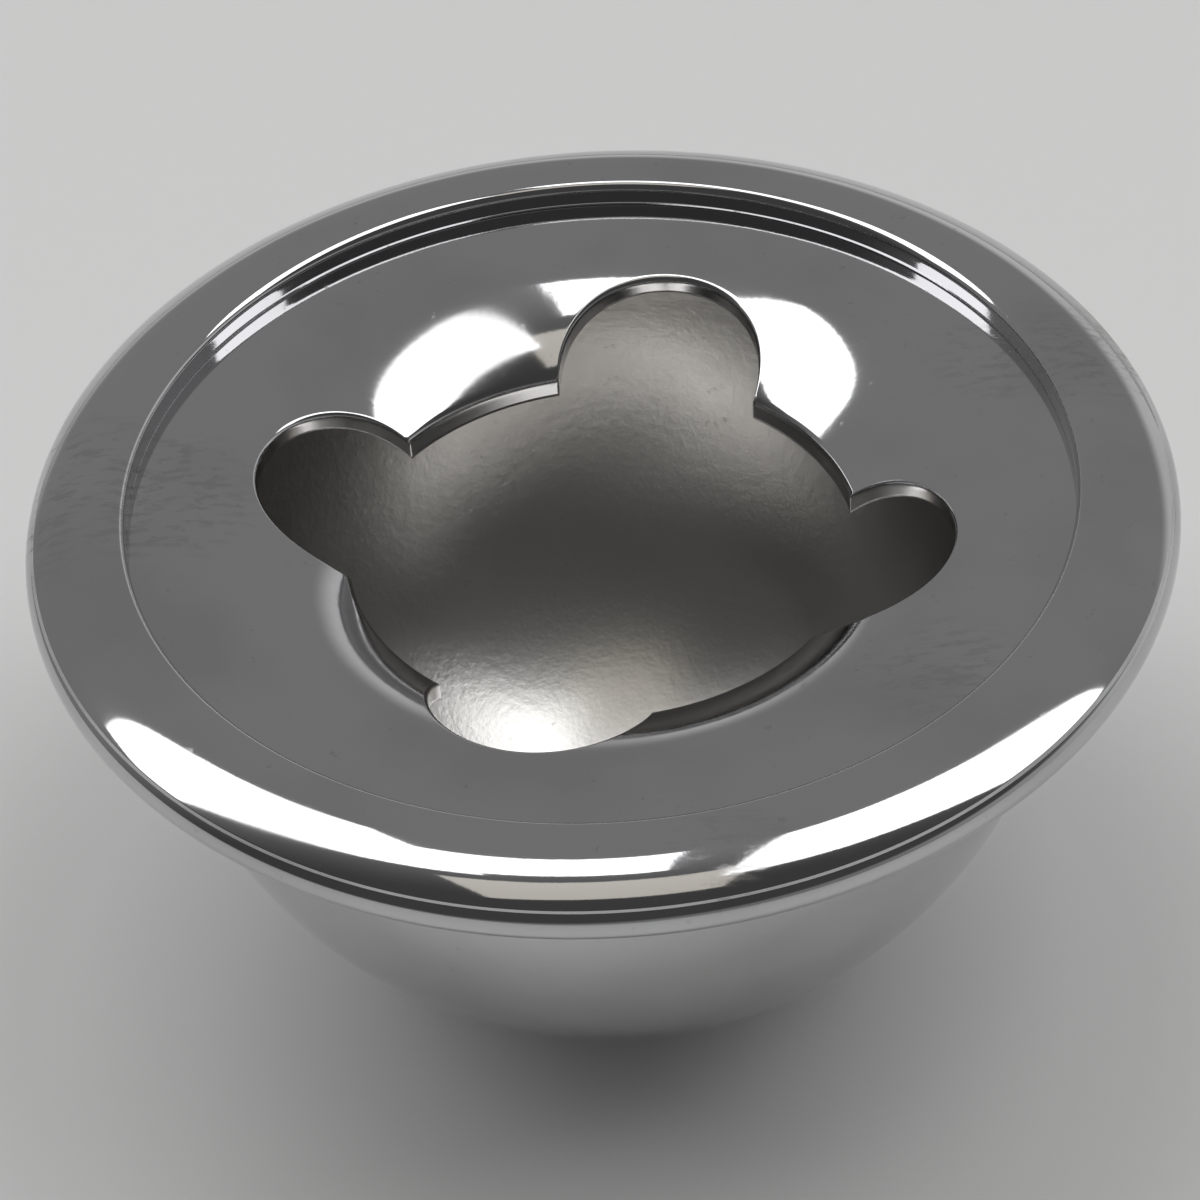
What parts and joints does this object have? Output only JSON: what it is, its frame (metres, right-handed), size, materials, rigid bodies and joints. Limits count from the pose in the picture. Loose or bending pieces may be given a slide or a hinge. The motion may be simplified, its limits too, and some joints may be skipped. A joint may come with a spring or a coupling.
{
  "type": "capped push nut",
  "caption": "Push-on axle cap: a chromed drawn dome whose folded rim clamps a spring-steel washer with teeth that grip a plain shaft.",
  "frame": {"origin": "lowest point of the dome, on the shaft axis, where the cap stands with its open side up", "axes": "+Z along the shaft axis, out of the open side"},
  "size_m": [0.0264, 0.0264, 0.0141],
  "materials": {
    "cap_chrome": "bright chrome plate outside and on the folded rim, duller satin plate inside the dome",
    "washer_chrome": "bright plated spring steel, mirror-like, with light handling scuffs"
  },
  "bodies": {
    "root": {"cap": "cap_chrome", "retaining_washer": "washer_chrome"}
  },
  "joints": []
}
